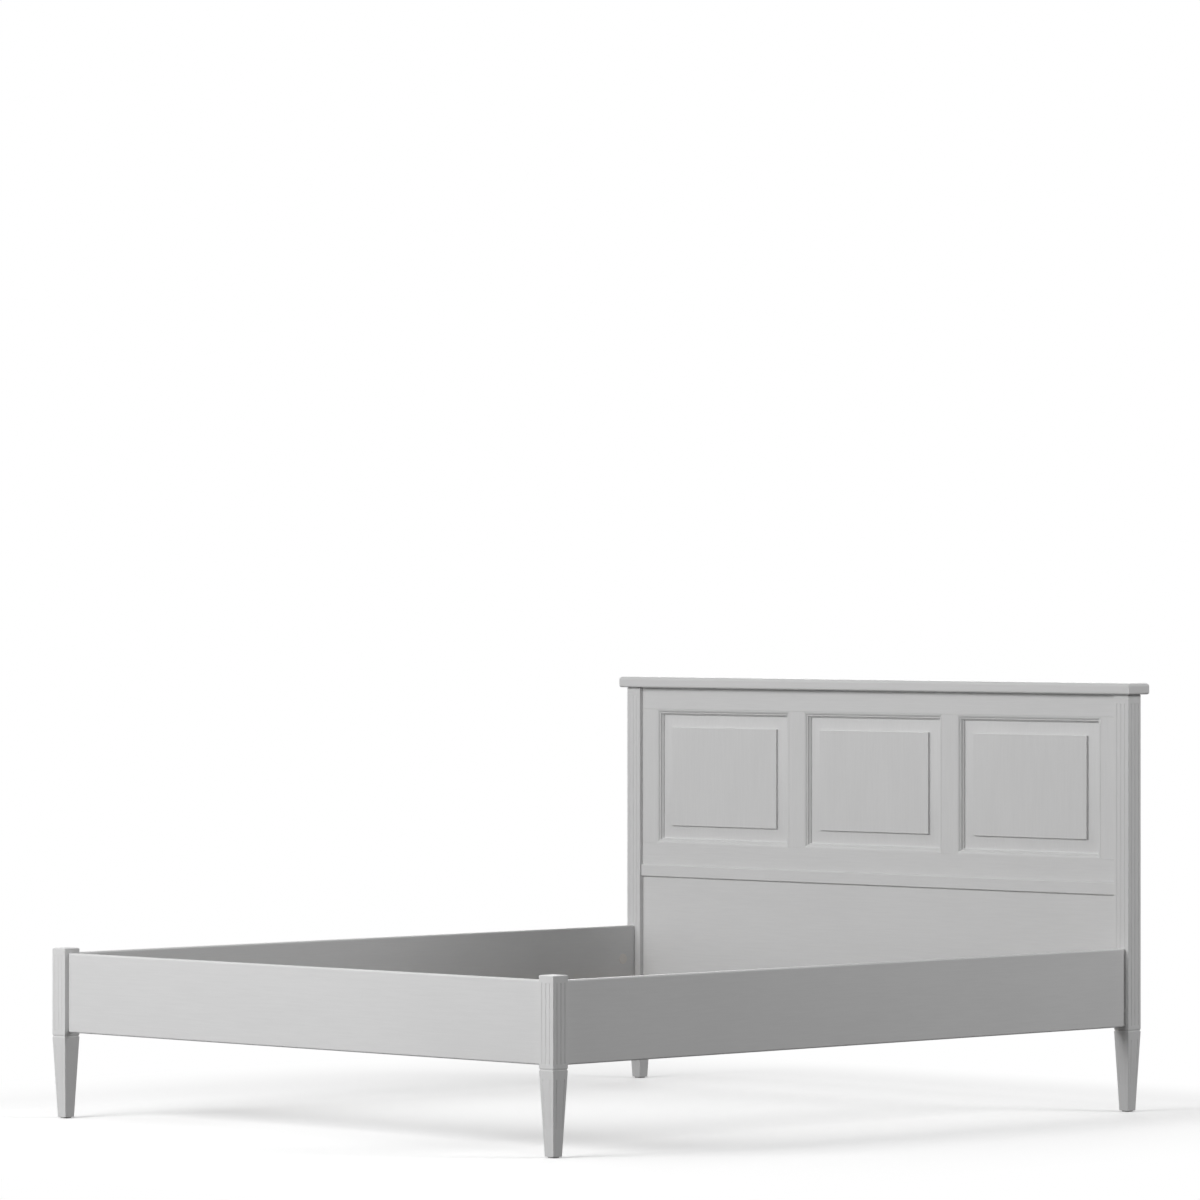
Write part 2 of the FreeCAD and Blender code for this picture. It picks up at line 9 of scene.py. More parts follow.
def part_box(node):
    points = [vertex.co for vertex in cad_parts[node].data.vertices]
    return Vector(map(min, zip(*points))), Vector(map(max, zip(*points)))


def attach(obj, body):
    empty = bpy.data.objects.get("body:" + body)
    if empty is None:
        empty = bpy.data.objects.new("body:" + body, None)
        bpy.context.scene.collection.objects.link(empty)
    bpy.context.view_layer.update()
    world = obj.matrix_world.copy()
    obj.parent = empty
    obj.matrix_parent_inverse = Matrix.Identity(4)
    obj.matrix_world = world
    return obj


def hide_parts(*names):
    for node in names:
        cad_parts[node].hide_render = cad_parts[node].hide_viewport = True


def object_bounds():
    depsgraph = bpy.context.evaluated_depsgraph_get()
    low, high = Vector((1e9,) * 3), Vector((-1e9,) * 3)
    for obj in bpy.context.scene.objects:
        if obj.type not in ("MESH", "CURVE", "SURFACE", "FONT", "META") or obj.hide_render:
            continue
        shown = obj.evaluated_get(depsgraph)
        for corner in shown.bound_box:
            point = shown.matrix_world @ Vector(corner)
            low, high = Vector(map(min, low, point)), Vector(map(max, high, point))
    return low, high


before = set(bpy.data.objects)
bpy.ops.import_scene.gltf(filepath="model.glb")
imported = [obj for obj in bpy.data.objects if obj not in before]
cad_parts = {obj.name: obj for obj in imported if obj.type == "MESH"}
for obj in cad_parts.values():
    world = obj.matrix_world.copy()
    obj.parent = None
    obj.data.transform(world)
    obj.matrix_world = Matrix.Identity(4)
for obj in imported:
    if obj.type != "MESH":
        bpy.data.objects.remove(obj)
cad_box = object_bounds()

MM = 0.001
ROUND_STEPS = 6
SHARP = 0.2 * MM


# Surface numbers and finishes


class Value:
    """A number that changes over a surface. Arithmetic on it adds Math nodes."""

    def __init__(self, finish, socket):
        self.finish = finish
        self.socket = socket

    def maths(self, operation, first, second):
        settings = {"operation": operation}
        return self.finish.node("ShaderNodeMath", settings, {0: first, 1: second}).value()

    def __add__(self, other):
        return self.maths("ADD", self, other)

    def __radd__(self, other):
        return self.maths("ADD", other, self)

    def __sub__(self, other):
        return self.maths("SUBTRACT", self, other)

    def __rsub__(self, other):
        return self.maths("SUBTRACT", other, self)

    def __mul__(self, other):
        return self.maths("MULTIPLY", self, other)

    def __rmul__(self, other):
        return self.maths("MULTIPLY", other, self)


class Step:
    """One node of a finish, whose outputs are asked for by name."""

    def __init__(self, finish, made):
        self.finish = finish
        self.made = made

    def out(self, name=0):
        return self.made.outputs[name]

    def value(self, name=0):
        return Value(self.finish, self.made.outputs[name])


class Nodes:
    """A node tree whose nodes are all added by one method."""

    def __init__(self, tree):
        self.tree = tree

    def node(self, kind, settings=None, inputs=None):
        made = self.tree.nodes.new(kind)
        for name, setting in (settings or {}).items():
            setattr(made, name, setting)
        for name, given in (inputs or {}).items():
            self.feed(made.inputs[name], given)
        return Step(self, made)

    def feed(self, socket, given):
        if isinstance(given, Value):
            given = given.socket
        if isinstance(given, bpy.types.NodeSocket):
            self.tree.links.new(given, socket)
        else:
            socket.default_value = given


class Finish(Nodes):
    """A material whose nodes are added one by one; shader is its surface shader."""

    def __init__(self, name, constants):
        self.material = bpy.data.materials.new(name)
        self.material.use_nodes = True
        super().__init__(self.material.node_tree)
        self.tree.nodes.clear()
        self.shader = self.node("ShaderNodeBsdfPrincipled")
        self.output = self.node("ShaderNodeOutputMaterial", {}, {"Surface": self.shader.out()})
        for socket, constant in constants.items():
            self.shader.made.inputs[socket].default_value = constant
        self.place = self.node("ShaderNodeTexCoord").out("Object")

    def surface(self, name, given):
        self.feed(self.shader.made.inputs[name], given)

    def stretched(self, scale):
        """The object's coordinates, drawn out or squeezed along each axis."""
        return self.node("ShaderNodeMapping", {}, {"Vector": self.place, "Scale": scale}).out()

    def vector(self, operation, *inputs):
        """Arithmetic on vectors, one component at a time."""
        made = self.node("ShaderNodeVectorMath", {"operation": operation}, dict(enumerate(inputs)))
        return made.out("Value" if operation == "LENGTH" else "Vector")

    def noise(self, scale, detail=3.0, roughness=0.5):
        inputs = {"Vector": self.stretched(scale), "Scale": 1.0, "Detail": detail, "Roughness": roughness}
        return self.node("ShaderNodeTexNoise", {}, inputs).value("Fac")

    def ramp(self, number, low, high):
        """0 below low and 1 above high, with a smooth rise between."""
        inputs = {"Value": number, "From Min": low, "From Max": high}
        settings = {"interpolation_type": "SMOOTHSTEP"}
        return self.node("ShaderNodeMapRange", settings, inputs).value()

    def mixed(self, amount, first, second):
        inputs = {"Factor": amount, 6: (*first, 1), 7: (*second, 1)}
        return self.node("ShaderNodeMix", {"data_type": "RGBA"}, inputs).out(2)

    def bumps(self, height, distance):
        """Raises the surface by height, where 1 is the given distance in metres."""
        inputs = {"Height": height, "Distance": distance, "Strength": 1.0}
        self.surface("Normal", self.node("ShaderNodeBump", {}, inputs).out("Normal"))


def along_grain(axis, along, across):
    """Scales for a pattern drawn out along one axis."""
    return tuple(along if name == axis else across for name in "XYZ")


PAINT_SHADE = 0.80


def white_paint(axis):
    """Satin white paint, brushed along the grain, with the wood's figure just showing through."""
    paint = Finish("white_paint_along_" + axis.lower(), {"Coat Weight": 0.08, "Coat Roughness": 0.3})
    figure = paint.noise(along_grain(axis, 12.0, 240.0), 4.0, 0.65)
    clouds = paint.noise(along_grain(axis, 3.0, 9.0), 3.0)
    brush = paint.noise(along_grain(axis, 14.0, 1100.0), 2.0)
    pores = paint.ramp(paint.noise(along_grain(axis, 26.0, 900.0), 1.0), 0.6, 0.72)
    tone = figure * 0.6 + clouds * 0.4
    light = tuple(PAINT_SHADE * share for share in (1.016, 1.016, 1.016))
    dark = tuple(PAINT_SHADE * share for share in (0.972, 0.972, 0.972))
    paint.surface("Base Color", paint.mixed(paint.ramp(tone, 0.3, 0.7), dark, light))
    paint.surface("Roughness", 0.36 + figure * 0.08 + brush * 0.06)
    paint.bumps(brush * 0.6 + figure * 0.9 - pores * 0.5, 0.05 * MM)
    return paint.material


def beech(axis):
    """Planed beech: warm, with fine long streaks and short dark flecks."""
    wood = Finish("beech_along_" + axis.lower(), {"Specular IOR Level": 0.3})
    streaks = wood.noise(along_grain(axis, 6.0, 260.0), 4.0, 0.6)
    flecks = wood.ramp(wood.noise(along_grain(axis, 90.0, 1500.0), 1.0), 0.6, 0.7)
    tone = wood.ramp(streaks, 0.3, 0.7) - flecks * 0.35
    wood.surface("Base Color", wood.mixed(tone, (0.40, 0.25, 0.14), (0.62, 0.45, 0.29)))
    wood.surface("Roughness", 0.52 + streaks * 0.16)
    wood.bumps(streaks - flecks * 0.6, 0.06 * MM)
    return wood.material


def zinc_plating():
    """Bright zinc over steel, with a faint cloudy tint and turning marks."""
    zinc = Finish("zinc_plating", {"Metallic": 1.0})
    clouds = zinc.noise((90.0, 90.0, 90.0), 3.0)
    marks = zinc.noise((2400.0, 2400.0, 300.0), 2.0)
    zinc.surface("Base Color", zinc.mixed(clouds, (0.56, 0.57, 0.58), (0.72, 0.72, 0.70)))
    zinc.surface("Roughness", 0.22 + clouds * 0.14 + marks * 0.06)
    zinc.bumps(marks, 0.01 * MM)
    return zinc.material


def cast_zinc():
    """A dull die casting with a fine pebbled skin."""
    casting = Finish("cast_zinc", {"Metallic": 1.0})
    skin = casting.noise((700.0, 700.0, 700.0), 4.0)
    stain = casting.noise((60.0, 60.0, 60.0), 2.0)
    casting.surface("Base Color", casting.mixed(stain, (0.40, 0.41, 0.42), (0.55, 0.55, 0.54)))
    casting.surface("Roughness", 0.42 + skin * 0.2)
    casting.bumps(skin, 0.04 * MM)
    return casting.material


def moulded_plastic(name, dark, light):
    """Moulded plastic with a fine spark-eroded texture."""
    plastic = Finish(name, {"Specular IOR Level": 0.4})
    skin = plastic.noise((1600.0, 1600.0, 1600.0), 2.0)
    flow = plastic.noise((45.0, 45.0, 45.0), 2.0)
    plastic.surface("Base Color", plastic.mixed(flow, dark, light))
    plastic.surface("Roughness", 0.42 + skin * 0.16)
    plastic.bumps(skin, 0.02 * MM)
    return plastic.material


PAINT = {axis: white_paint(axis) for axis in "XYZ"}
BEECH = {axis: beech(axis) for axis in "XYZ"}
ZINC = zinc_plating()
CASTING = cast_zinc()
COVER_PLASTIC = moulded_plastic("cover_plastic", (0.84, 0.81, 0.775), (0.88, 0.85, 0.815))
GLIDE_PLASTIC = moulded_plastic("glide_plastic", (0.50, 0.50, 0.49), (0.58, 0.58, 0.57))


# Making pieces


def finished_piece(name, mesh, finish, nodes):
    """Puts a mesh in the scene as a smooth-shaded piece that stands for the given CAD nodes."""
    piece = bpy.data.objects.new(name, mesh)
    bpy.context.scene.collection.objects.link(piece)
    mesh.materials.clear()
    mesh.materials.append(finish)
    for face in mesh.polygons:
        face.use_smooth = True
    mesh.set_sharp_from_angle(angle=math.radians(42))
    shading = piece.modifiers.new("flat_faces_stay_flat", "WEIGHTED_NORMAL")
    shading.weight = 100
    shading.keep_sharp = True
    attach(piece, "root")
    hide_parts(*nodes)
    return piece


def closed_mesh(name, points, faces):
    """A mesh from points and faces, with its faces turned outwards."""
    mesh = bpy.data.meshes.new(name)
    mesh.from_pydata([tuple(point) for point in points], [], faces)
    shape = bmesh.new()
    shape.from_mesh(mesh)
    bmesh.ops.remove_doubles(shape, verts=shape.verts, dist=1e-7)
    bmesh.ops.recalc_face_normals(shape, faces=shape.faces)
    shape.to_mesh(mesh)
    shape.free()
    return mesh


def lofted(name, rings):
    """A closed skin through rings of equally many points, with a flat face at both ends."""
    count = len(rings[0])
    points = [point for ring in rings for point in ring]
    last = len(points) - count
    faces = [list(range(count))[::-1], list(range(last, last + count))]
    for level in range(len(rings) - 1):
        low = level * count
        high = low + count
        for place in range(count):
            after = (place + 1) % count
            faces.append((low + place, low + after, high + after, high + place))
    return closed_mesh(name, points, faces)


def rounded_rectangle(half_x, half_y, radius, centre, z):
    """A level outline with round corners."""
    points = []
    for quarter, (side_x, side_y) in enumerate(((1, -1), (1, 1), (-1, 1), (-1, -1))):
        for step in range(ROUND_STEPS + 1):
            angle = math.radians(90 * (quarter - 1 + step / ROUND_STEPS))
            x = side_x * (half_x - radius) + radius * math.cos(angle)
            y = side_y * (half_y - radius) + radius * math.sin(angle)
            points.append(Vector((centre.x + x, centre.y + y, z)))
    return points


def block_mesh(name, low, high, top_round, bottom_round, upright_round):
    """A block between two corners with rounded top, bottom and upright arrises."""
    centre = (low + high) / 2
    half = (high - low) / 2
    bends = [math.radians(90 * step / ROUND_STEPS) for step in range(ROUND_STEPS + 1)]
    levels = [(bottom_round * (1 - math.sin(a)), low.z + bottom_round * (1 - math.cos(a))) for a in bends]
    levels += [(top_round * (1 - math.cos(a)), high.z - top_round * (1 - math.sin(a))) for a in bends]
    rings = []
    for inset, z in levels:
        corner = max(upright_round - inset, SHARP)
        rings.append(rounded_rectangle(half.x - inset, half.y - inset, corner, centre, z))
    return lofted(name, rings)


def painted_block(name, nodes, axis, low, high, top_round, bottom_round=None, upright_round=None):
    """A painted block between two corners, with its grain along an axis."""
    bottom_round = top_round if bottom_round is None else bottom_round
    upright_round = top_round if upright_round is None else upright_round
    mesh = block_mesh(name, low, high, top_round, bottom_round, upright_round)
    return finished_piece(name, mesh, PAINT[axis], nodes)


def turned_mesh(name, outline, base, direction, sides=40, wings=0):
    """A solid turned about a line; the outline is (radius, distance, how far wings stand out)."""
    turn = direction.to_track_quat("Z", "Y")
    rings = []
    for radius, distance, wing in outline:
        ring = []
        for side in range(sides):
            angle = 2 * math.pi * side / sides
            reach = radius + wing * math.cos(wings * angle)
            spoke = Vector((reach * math.cos(angle), reach * math.sin(angle), distance))
            ring.append(base + turn @ spoke)
        rings.append(ring)
    return lofted(name, rings)


# Posts

POST_ARRIS = 1.0 * MM
NECK_HEIGHT = 203.2 * MM
NECK_FLOOR = 1.6 * MM
NECK_SLOPE = 3.0 * MM
NECK_DEPTH = 1.5 * MM
LEG_FOOT_HALF = 14.5 * MM
GLIDE_TOP = 3.0 * MM
TOP_CHAMFER = 2.0 * MM
FLUTE_RADIUS = 2.0 * MM
FLUTE_DEPTH = 1.1 * MM
FLUTE_PITCH = 13.0 * MM
POST_FLUTE_FOOT = 218.0 * MM
FLUTE_HEADROOM = {"foot": 19.0 * MM, "head": 23.5 * MM}
LEG_FLUTE = (66.0 * MM, 181.0 * MM)
LEG_FOOT_DEPTH = 0.7 * MM
LEG_MIDDLE_DEPTH = 0.3 * MM
FLUTE_POINTS = 9


class Flute:
    """A round-bottomed, round-ended flute from one height to another."""

    def __init__(self, place, span, low_depth, high_depth):
        self.place = place
        self.low, self.high = span
        self.low_off = FLUTE_RADIUS - low_depth
        self.high_off = FLUTE_RADIUS - high_depth

    def section(self, z):
        """The radius of the cutter at a height, and how far its axis stands off the face."""
        beyond = max(self.low - z, z - self.high, 0.0)
        share = min(max((z - self.low) / (self.high - self.low), 0.0), 1.0)
        off = self.low_off + (self.high_off - self.low_off) * share
        return math.sqrt(max(FLUTE_RADIUS ** 2 - beyond ** 2, 0.0)), off

    def points(self, z, spread):
        """(across, deep) points through the flute; spread draws its place in on the tapered leg."""
        radius, off = self.section(z)
        half_width = math.sqrt(max(radius ** 2 - off ** 2, 0.0)) + 0.02 * MM
        made = []
        for step in np.linspace(-1, 1, FLUTE_POINTS):
            across = half_width * step
            deep = math.sqrt(max(radius ** 2 - across ** 2, 0.0)) - off
            made.append((self.place * spread + across, max(deep, 0.0)))
        return made

    def levels(self):
        """Heights where the flute's section changes."""
        bend = [math.sin(math.radians(angle)) for angle in (0, 20, 40, 58, 72, 82, 90)]
        heights = []
        for end, way, off in ((self.high, 1, self.high_off), (self.low, -1, self.low_off)):
            reach = math.sqrt(FLUTE_RADIUS ** 2 - off ** 2)
            heights += [end + way * reach * share for share in bend]
        return heights


def post_outline(top, half):
    """(height, half width) pairs up the post: leg, sharp-edged neck groove, shaft and chamfer."""
    neck = NECK_HEIGHT
    floor_top = neck + NECK_FLOOR
    shaft = floor_top + NECK_SLOPE
    return [
        (GLIDE_TOP, LEG_FOOT_HALF - 0.6 * MM),
        (GLIDE_TOP + 0.25 * MM, LEG_FOOT_HALF - 0.15 * MM),
        (GLIDE_TOP + 0.8 * MM, LEG_FOOT_HALF),
        (neck - 0.75 * MM, half - 0.02 * MM),
        (neck - 0.6 * MM, half - 0.1 * MM),
        (neck - 0.5 * MM, half - 0.3 * MM),
        (neck - 0.4 * MM, half - NECK_DEPTH + 0.1 * MM),
        (neck - 0.3 * MM, half - NECK_DEPTH),
        (floor_top, half - NECK_DEPTH),
        (shaft - 0.5 * MM, half - 0.3 * MM),
        (shaft + 0.1 * MM, half - 0.06 * MM),
        (shaft + 0.7 * MM, half),
        (top - TOP_CHAMFER - 0.3 * MM, half),
        (top - TOP_CHAMFER, half - 0.08 * MM),
        (top - TOP_CHAMFER + 0.3 * MM, half - 0.3 * MM),
        (top - 0.3 * MM, half - TOP_CHAMFER + 0.25 * MM),
        (top - 0.08 * MM, half - TOP_CHAMFER - 0.05 * MM),
        (top, half - TOP_CHAMFER - 0.35 * MM),
    ]


def post_ring(half, shaft_half, flutes, z):
    """One level of the right-hand post: fluted towards the foot and outwards, plain behind and inwards."""
    flat = half - POST_ARRIS
    fluted = [(-flat, 0.0)]
    for flute in flutes:
        fluted += flute.points(z, half / shaft_half)
    fluted.append((flat, 0.0))
    plain = [(-flat, 0.0), (flat, 0.0)]
    ring = []
    for quarter, side in enumerate((fluted, fluted, plain, plain)):
        turn = Matrix.Rotation(math.radians(90 * quarter), 2)
        for across, deep in side:
            ring.append(turn @ Vector((across, deep - half)))
        for angle in (-60, -30):
            bend = Vector((math.cos(math.radians(angle)), math.sin(math.radians(angle)))) * POST_ARRIS
            ring.append(turn @ (Vector((flat, -flat)) + bend))
    return ring


def post(end, side):
    """A foot or head post with its leg; the left one is the right one's mirror image."""
    node = end + "_post_" + side
    low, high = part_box(node)
    centre = (low + high) / 2
    shaft_half = (high.y - low.y) / 2
    outline = post_outline(high.z, shaft_half)
    shaft_span = (POST_FLUTE_FOOT, high.z - FLUTE_HEADROOM[end])
    shaft_flutes = []
    leg_flutes = []
    for step in (-1, 0, 1):
        place = step * FLUTE_PITCH
        shaft_flutes.append(Flute(place, shaft_span, FLUTE_DEPTH, FLUTE_DEPTH))
        if step:
            leg_flutes.append(Flute(place, LEG_FLUTE, LEG_FOOT_DEPTH, FLUTE_DEPTH))
        else:
            leg_flutes.append(Flute(place, LEG_FLUTE, LEG_MIDDLE_DEPTH, LEG_MIDDLE_DEPTH))
    levels = [height for height, _ in outline]
    for flute in shaft_flutes[:1] + leg_flutes[:2]:
        levels += flute.levels()
    mirror = 1 if side == "right" else -1
    rings = []
    for z in sorted(set(round(level, 6) for level in levels)):
        half = float(np.interp(z, *zip(*outline)))
        flutes = leg_flutes if z < NECK_HEIGHT else shaft_flutes
        ring = post_ring(half, shaft_half, flutes, z)
        rings.append([Vector((centre.x + mirror * spot.x, centre.y + spot.y, z)) for spot in ring])
    name = node + "_turned_up"
    return finished_piece(name, lofted(name, rings), PAINT["Z"], [node])


for end_name in ("foot", "head"):
    for side_name in ("left", "right"):
        post(end_name, side_name)


# Boards between the posts

BOARD_ROUND = 4.3 * MM
ARRIS = 1.0 * MM
LEDGER_ARRIS = 1.2 * MM

for board_node, board_axis in (("footboard", "X"), ("side_rail_left", "Y"), ("side_rail_right", "Y")):
    painted_block(board_node + "_board", [board_node], board_axis, *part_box(board_node), BOARD_ROUND)

for side_name in ("left", "right"):
    ledger_node = "ledger_" + side_name
    ledger_rounds = (LEDGER_ARRIS, LEDGER_ARRIS, LEDGER_ARRIS)
    ledger_mesh = block_mesh(ledger_node + "_batten", *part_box(ledger_node), *ledger_rounds)
    finished_piece(ledger_node + "_batten", ledger_mesh, BEECH["Y"], [ledger_node])


# Headboard

CAP_TOP_ROUND = 8.0 * MM
CAP_BOTTOM_ROUND = 5.0 * MM
LEDGE_ROUND = 2.6 * MM
MITRE_LINE = 0.08 * MM
FIELD_SIDE = 51.5 * MM
FIELD_END = 48.5 * MM
FIELD_DEPTH = 5.1 * MM
FIELD_FOOT = 11.6 * MM
OPENINGS = ("left", "centre", "right")

top_rail_low, top_rail_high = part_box("headboard_top_rail")
bottom_rail_low, bottom_rail_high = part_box("headboard_bottom_rail")
ledge_low, ledge_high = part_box("ledge_strip")
panel_low, panel_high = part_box("lower_panel")

cap_rounds = (CAP_TOP_ROUND, CAP_BOTTOM_ROUND, SHARP)
painted_block("cap_rail_moulded", ["cap_rail"], "X", *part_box("cap_rail"), *cap_rounds)
painted_block("top_rail", ["headboard_top_rail"], "X", top_rail_low, top_rail_high, ARRIS)
painted_block("bottom_rail", ["headboard_bottom_rail"], "X", bottom_rail_low, bottom_rail_high, ARRIS)
painted_block("ledge", ["ledge_strip"], "X", ledge_low, ledge_high, LEDGE_ROUND, LEDGE_ROUND, ARRIS)
painted_block("lower_panel_board", ["lower_panel"], "X", panel_low, panel_high, ARRIS)

for upright_node in ("stile_left", "muntin_left", "muntin_right", "stile_right"):
    upright_low, upright_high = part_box(upright_node)
    upright_low.z = bottom_rail_high.z
    upright_high.z = top_rail_low.z
    painted_block(upright_node + "_upright", [upright_node], "Z", upright_low, upright_high, ARRIS)


def raised_panel(name):
    """A panel with a sloping margin and a step up to its flat field, made of nested rectangles."""
    node = "panel_" + name
    low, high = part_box(node)
    strip_low, strip_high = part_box("moulding_" + name + "_left")
    front = top_rail_low.y
    back = high.y - front
    tongue = strip_low.x - low.x
    tongue_front = strip_high.y - front
    margin = strip_high.x - strip_low.x
    outline = [
        (-tongue, -tongue, back),
        (-tongue, -tongue, tongue_front),
        (margin, margin, tongue_front),
        (FIELD_SIDE - 0.9 * MM, FIELD_END - 0.9 * MM, FIELD_FOOT + 0.12 * MM),
        (FIELD_SIDE - 0.25 * MM, FIELD_END - 0.25 * MM, FIELD_FOOT - 0.1 * MM),
        (FIELD_SIDE, FIELD_END, FIELD_FOOT - 0.8 * MM),
        (FIELD_SIDE, FIELD_END, FIELD_DEPTH + 0.7 * MM),
        (FIELD_SIDE + 0.12 * MM, FIELD_END + 0.12 * MM, FIELD_DEPTH + 0.32 * MM),
        (FIELD_SIDE + 0.4 * MM, FIELD_END + 0.4 * MM, FIELD_DEPTH + 0.06 * MM),
        (FIELD_SIDE + 0.8 * MM, FIELD_END + 0.8 * MM, FIELD_DEPTH),
    ]
    rings = []
    for side, end, depth in outline:
        x_low = low.x + tongue + side
        x_high = high.x - tongue - side
        z_low = low.z + tongue + end
        z_high = high.z - tongue - end
        corners = ((x_low, z_low), (x_high, z_low), (x_high, z_high), (x_low, z_high))
        rings.append([Vector((x, front + depth, z)) for x, z in corners])
    finished_piece(node + "_raised", lofted(node + "_raised", rings), PAINT["Z"], [node])



def bow(start, middle, end, steps=6):
    """Points along the circle's arc through three (across, deep) points, without the first."""
    first, second, third = (complex(*spot) for spot in (start, middle, end))
    span = (third - first) / (second - first)
    centre = first + (second - first) * (span - abs(span) ** 2) / (2j * span.imag)
    turn = (third - centre) / (first - centre)
    angle = math.atan2(turn.imag, turn.real)
    points = []
    for step in range(1, steps + 1):
        part = angle * step / steps
        spot = centre + (first - centre) * complex(math.cos(part), math.sin(part))
        points.append((spot.real, spot.imag))
    return points


def moulding_section():
    """From the frame's edge inwards: an ovolo, a fillet and a cove, written in millimetres."""
    section = [(0.0, 0.0), (1.0, 0.0)]
    section += bow((1.0, 0.0), (5.8, 1.6), (8.4, 5.0), 7)
    section += [(8.45, 5.1), (10.7, 5.1), (10.9, 5.2), (11.0, 5.45)]
    section += bow((11.0, 5.45), (11.9, 9.6), (13.9, 11.6))
    section += [(14.3, 11.6), (14.45, 11.7), (14.5, 11.95)]
    section += [(14.5, 16.0), (0.0, 16.0)]
    return [(across * MM, deep * MM) for across, deep in section]


def moulding_strip(name, side):
    """One strip of the moulding round an opening, mitred at both ends."""
    node = "moulding_" + name + "_" + side
    low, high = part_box(node)
    front = low.y
    starts = {
        "top": (Vector((low.x, front, high.z)), Vector((1, 0, 0)), Vector((0, 0, -1))),
        "bottom": (Vector((low.x, front, low.z)), Vector((1, 0, 0)), Vector((0, 0, 1))),
        "left": (Vector((low.x, front, low.z)), Vector((0, 0, 1)), Vector((1, 0, 0))),
        "right": (Vector((high.x, front, low.z)), Vector((0, 0, 1)), Vector((-1, 0, 0))),
    }
    corner, along, inward = starts[side]
    length = (high - low).dot(along)
    rings = []
    for end, turn in ((MITRE_LINE, 1), (length - MITRE_LINE, -1)):
        ring = []
        for across, deep in moulding_section():
            ring.append(corner + inward * across + Vector((0, deep, 0)) + along * (end + turn * across))
        rings.append(ring)
    axis = "X" if along.x else "Z"
    finished_piece(node + "_strip", lofted(node + "_strip", rings), PAINT[axis], [node])


for opening_name in OPENINGS:
    raised_panel(opening_name)
    for strip_side in ("top", "bottom", "left", "right"):
        moulding_strip(opening_name, strip_side)


# Screws, covers and glides


def lattice_tree():
    """Copies the piece along two directions and joins the copies."""
    tree = bpy.data.node_groups.new("lattice_of_pieces", "GeometryNodeTree")
    sockets = tree.interface
    sockets.new_socket("Geometry", in_out="INPUT", socket_type="NodeSocketGeometry")
    for name in ("First Count", "Second Count"):
        sockets.new_socket(name, in_out="INPUT", socket_type="NodeSocketInt")
    for name in ("First Step", "Second Step"):
        sockets.new_socket(name, in_out="INPUT", socket_type="NodeSocketVector")
    sockets.new_socket("Finish", in_out="INPUT", socket_type="NodeSocketMaterial")
    sockets.new_socket("Geometry", in_out="OUTPUT", socket_type="NodeSocketGeometry")
    nodes = Nodes(tree)
    given = nodes.node("NodeGroupInput")
    pieces = given.out("Geometry")
    for order in ("First", "Second"):
        row = {"Count": given.out(order + " Count"), "Offset": given.out(order + " Step")}
        line = nodes.node("GeometryNodeMeshLine", {}, row)
        places = {"Points": line.out("Mesh"), "Instance": pieces}
        copies = nodes.node("GeometryNodeInstanceOnPoints", {}, places)
        pieces = copies.out("Instances")
    joined = nodes.node("GeometryNodeRealizeInstances", {}, {"Geometry": pieces})
    finish = {"Geometry": joined.out("Geometry"), "Material": given.out("Finish")}
    painted = nodes.node("GeometryNodeSetMaterial", {}, finish)
    nodes.node("NodeGroupOutput", {}, {"Geometry": painted.out("Geometry")})
    return tree


LATTICE = lattice_tree()
NO_STEP = Vector((0, 0, 0))


def repeated(name, mesh, finish, slot, nodes, first_count, first_step, second_count=1, second_step=NO_STEP):
    """One piece made of copies of a mesh, so many at such steps along two directions."""
    source = bpy.data.objects.new(name + "_source", mesh)
    bpy.context.scene.collection.objects.link(source)
    copies = source.modifiers.new("copies", "NODES")
    copies.node_group = LATTICE
    values = {"First Count": first_count, "First Step": first_step, "Finish": finish}
    values.update({"Second Count": second_count, "Second Step": second_step})
    for socket in LATTICE.interface.items_tree:
        if socket.in_out == "INPUT" and socket.name in values:
            copies[socket.identifier] = values[socket.name]
    ready = source.evaluated_get(bpy.context.evaluated_depsgraph_get())
    plain = bpy.data.meshes.new_from_object(ready)
    bpy.data.objects.remove(source)
    return finished_piece(name, plain, finish, nodes)


LEDGER_SCREWS = 7
SCREW_LENGTH = 34.0 * MM
COVER_THICKNESS = 1.4 * MM
GLIDE_THICKNESS = 3.0 * MM


def ledger_screws(side):
    """Countersunk screws with a cross recess, in a row along the ledger's inner face."""
    node = "ledger_screws_" + side
    low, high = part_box(node)
    inward = 1 if side == "left" else -1
    face = max(low.x, high.x, key=lambda x: x * inward)
    head = (high.z - low.z) / 2
    shank = head / 2
    outline = [
        (0.35 * MM, -1.9 * MM, 0.1 * MM),
        (1.05 * MM, -1.5 * MM, 0.6 * MM),
        (1.25 * MM, -0.05 * MM, 0.8 * MM),
        (1.35 * MM, 0.0, 0.85 * MM),
        (head - 0.2 * MM, 0.0, 0.0),
        (head, -0.15 * MM, 0.0),
        (shank, -2.4 * MM, 0.0),
        (shank, shank - SCREW_LENGTH, 0.0),
        (0.3 * MM, -SCREW_LENGTH, 0.0),
    ]
    base = Vector((face, low.y + head, (low.z + high.z) / 2))
    step = Vector((0, (high.y - low.y - 2 * head) / (LEDGER_SCREWS - 1), 0))
    mesh = turned_mesh(node, outline, base, Vector((inward, 0, 0)), 32, 4)
    repeated(node + "_driven", mesh, ZINC, "zinc_plated_steel", [node], LEDGER_SCREWS, step)


